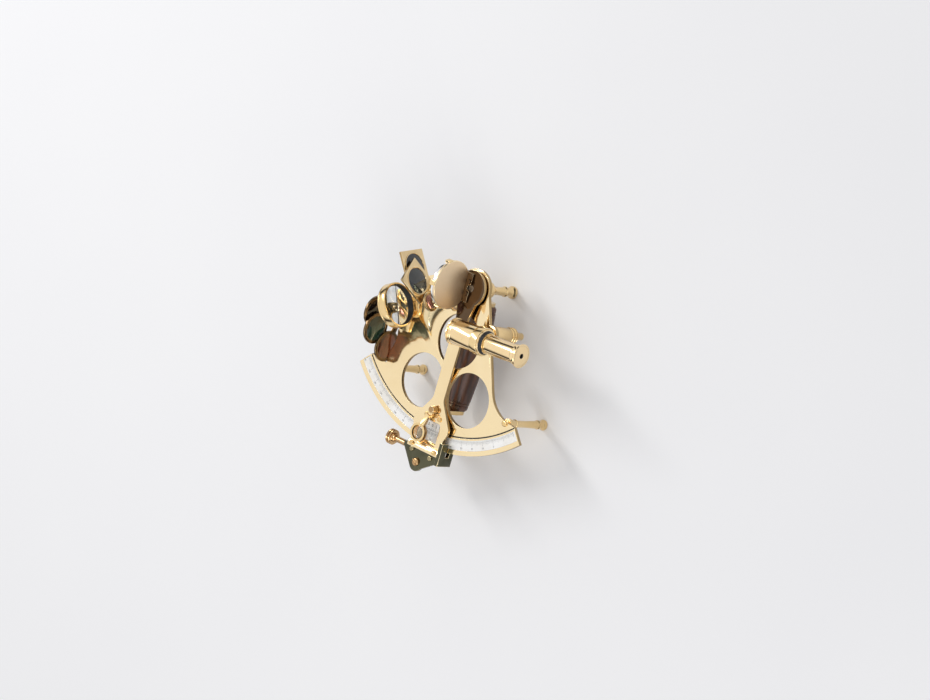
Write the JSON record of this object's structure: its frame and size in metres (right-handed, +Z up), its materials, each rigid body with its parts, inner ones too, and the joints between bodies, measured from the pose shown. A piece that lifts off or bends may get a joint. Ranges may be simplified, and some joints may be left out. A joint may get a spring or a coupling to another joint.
{
  "type": "sextant",
  "caption": "Vernier sextant lying on its legs: arc, swinging index arm with mirror, reading lens and tangent screw, horizon mirror, hinged shades, telescope on a rising stem, wooden grip.",
  "frame": {"origin": "centre of the apex leg's foot, on the surface the three legs stand on, straight below the pivot of the index arm", "axes": "+X toward the eyepiece, +Y from the arc toward the pivot, +Z up, square to the frame plate"},
  "size_m": [0.2305, 0.2224, 0.1197],
  "materials": {
    "brass": "polished, lacquered",
    "frame_brass": "satin, lacquered",
    "arm_brass": "satin, lacquered",
    "tube_brass": "polished",
    "shade_brass": "brushed",
    "silvered_scale": "matt, engraved",
    "axle_steel": "ground",
    "grip_wood": "oiled",
    "mirror": "silvered",
    "clear_glass": "clear",
    "shade_slate": "dark slate",
    "shade_black": "near black",
    "shade_rose": "rose brown",
    "shade_smoke": "smoke",
    "shade_green": "dark green",
    "shade_red": "dark red"
  },
  "bodies": {
    "frame": {"frame": "frame_brass", "arc_scale": "silvered_scale", "pivot_bush": "brass", "apex_leg": "brass", "side_legs": "brass", "frame_screws": "brass", "handle_grip": "grip_wood", "handle_bracket_upper": "brass", "handle_bracket_lower": "brass", "horizon_bracket": "brass", "horizon_ring": "brass", "horizon_silvered_glass": "mirror", "horizon_clear_glass": "clear_glass", "horizon_adjusting_screws": "brass", "horizon_shade_post": "brass", "horizon_shade_pin": "brass", "index_shade_post": "brass", "index_shade_pin": "brass", "telescope_socket": "brass"},
    "clamp": {"clamp_bridge": "brass"},
    "clamp_shoe": {"clamp_shoe": "brass"},
    "clamp_screw": {"clamp_screw": "brass"},
    "tangent_nut": {"tangent_nut": "brass"},
    "arm": {"index_arm": "arm_brass", "pivot_axle": "axle_steel", "axle_nut": "brass", "vernier_plate": "silvered_scale", "bevel_bar": "brass", "arm_cheek": "brass", "tangent_carrier": "brass", "arm_end_screws": "brass", "index_mirror_base": "brass", "index_mirror_back": "brass", "index_mirror_glass": "mirror", "index_mirror_clips": "brass", "magnifier_pivot": "brass"},
    "tangent": {"tangent_screw": "brass", "tangent_knob": "brass"},
    "magnifier": {"magnifier_arm": "brass", "magnifier_lens": "clear_glass"},
    "index_shade_1": {"index_shade_plate_1": "shade_brass", "index_shade_glass_1": "shade_slate"},
    "index_shade_2": {"index_shade_plate_2": "shade_brass", "index_shade_glass_2": "shade_black"},
    "index_shade_3": {"index_shade_plate_3": "shade_brass", "index_shade_glass_3": "shade_rose"},
    "horizon_shade_1": {"horizon_shade_ring_1": "shade_brass", "horizon_shade_glass_1": "shade_smoke"},
    "horizon_shade_2": {"horizon_shade_ring_2": "shade_brass", "horizon_shade_glass_2": "shade_green"},
    "horizon_shade_3": {"horizon_shade_ring_3": "shade_brass", "horizon_shade_glass_3": "shade_red"},
    "telescope": {"rising_stem": "brass", "telescope_tube": "tube_brass", "objective_lens": "clear_glass"},
    "rising_nut": {"rising_nut": "brass"},
    "draw": {"draw_tube": "tube_brass", "eyepiece_cap": "brass", "eye_lens": "clear_glass"}
  },
  "joints": [
    {"name": "arm_sweep", "type": "hinge", "parent": "frame", "child": "clamp", "pos_m": [0, 0, 0.062], "axis": [0, 0, 1], "range_deg": [-29, 28.8]},
    {"name": "fine_sweep", "type": "hinge", "parent": "clamp", "child": "arm", "pos_m": [0, 0, 0.062], "axis": [0, 0, 1], "range_deg": [-1.5, 1.5]},
    {"name": "tangent_turn", "type": "hinge", "parent": "arm", "child": "tangent", "pos_m": [0, -0.1768, 0.057], "axis": [1, 0, 0], "range_deg": [-1600, 1600]},
    {"name": "nut_swivel", "type": "hinge", "parent": "clamp", "child": "tangent_nut", "pos_m": [0, -0.1768, 0.0535], "axis": [0, 0, 1], "range_deg": [-1.5, 1.5]},
    {"name": "clamp_press", "type": "slide", "parent": "clamp", "child": "clamp_shoe", "axis": [0, 0, 1], "range_m": [0, 0.0004]},
    {"name": "clamp_turn", "type": "hinge", "parent": "clamp_shoe", "child": "clamp_screw", "pos_m": [0, -0.16, 0.045], "axis": [0, 0, 1], "range_deg": [0, 280]},
    {"name": "magnifier_swing", "type": "hinge", "parent": "arm", "child": "magnifier", "pos_m": [0, -0.129, 0.07], "axis": [0, 0, 1], "range_deg": [-30, 38]},
    {"name": "index_shade_swing_1", "type": "hinge", "parent": "frame", "child": "index_shade_1", "pos_m": [-0.04639, -0.0092, 0.067], "axis": [0.8572, 0.515, 0], "range_deg": [-50, 34]},
    {"name": "index_shade_swing_2", "type": "hinge", "parent": "frame", "child": "index_shade_2", "pos_m": [-0.05067, -0.01178, 0.067], "axis": [0.8572, 0.515, 0], "range_deg": [-15, 69]},
    {"name": "index_shade_swing_3", "type": "hinge", "parent": "frame", "child": "index_shade_3", "pos_m": [-0.0421, -0.00663, 0.067], "axis": [0.8572, 0.515, 0], "range_deg": [-99.5, 12]},
    {"name": "horizon_shade_swing_1", "type": "hinge", "parent": "frame", "child": "horizon_shade_1", "pos_m": [-0.0932, -0.0605, 0.059], "axis": [1, 0, 0], "range_deg": [-26, 82]},
    {"name": "horizon_shade_swing_2", "type": "hinge", "parent": "frame", "child": "horizon_shade_2", "pos_m": [-0.0896, -0.0605, 0.059], "axis": [1, 0, 0], "range_deg": [-58, 50]},
    {"name": "horizon_shade_swing_3", "type": "hinge", "parent": "frame", "child": "horizon_shade_3", "pos_m": [-0.086, -0.0605, 0.059], "axis": [1, 0, 0], "range_deg": [-108, 0]},
    {"name": "telescope_rise", "type": "slide", "parent": "frame", "child": "telescope", "axis": [0, 0, 1], "range_m": [-0.0025, 0.009]},
    {"name": "rising_nut_turn", "type": "hinge", "parent": "frame", "child": "rising_nut", "pos_m": [0.0352, -0.0364, 0.0297], "axis": [0, 0, 1], "range_deg": [-2165, 605]},
    {"name": "draw_focus", "type": "slide", "parent": "telescope", "child": "draw", "axis": [0.999, 0.0436, 0], "range_m": [-0.01, 0.006]}
  ],
  "couplings": [
    {"joint": "fine_sweep", "follows": "tangent_turn", "ratio": 0.0009002},
    {"joint": "nut_swivel", "follows": "tangent_turn", "ratio": 0.0009002},
    {"joint": "clamp_press", "follows": "clamp_turn", "m_per_rad": 0.000079577},
    {"joint": "rising_nut_turn", "follows": "telescope_rise", "rad_per_m": -4188.8}
  ]
}
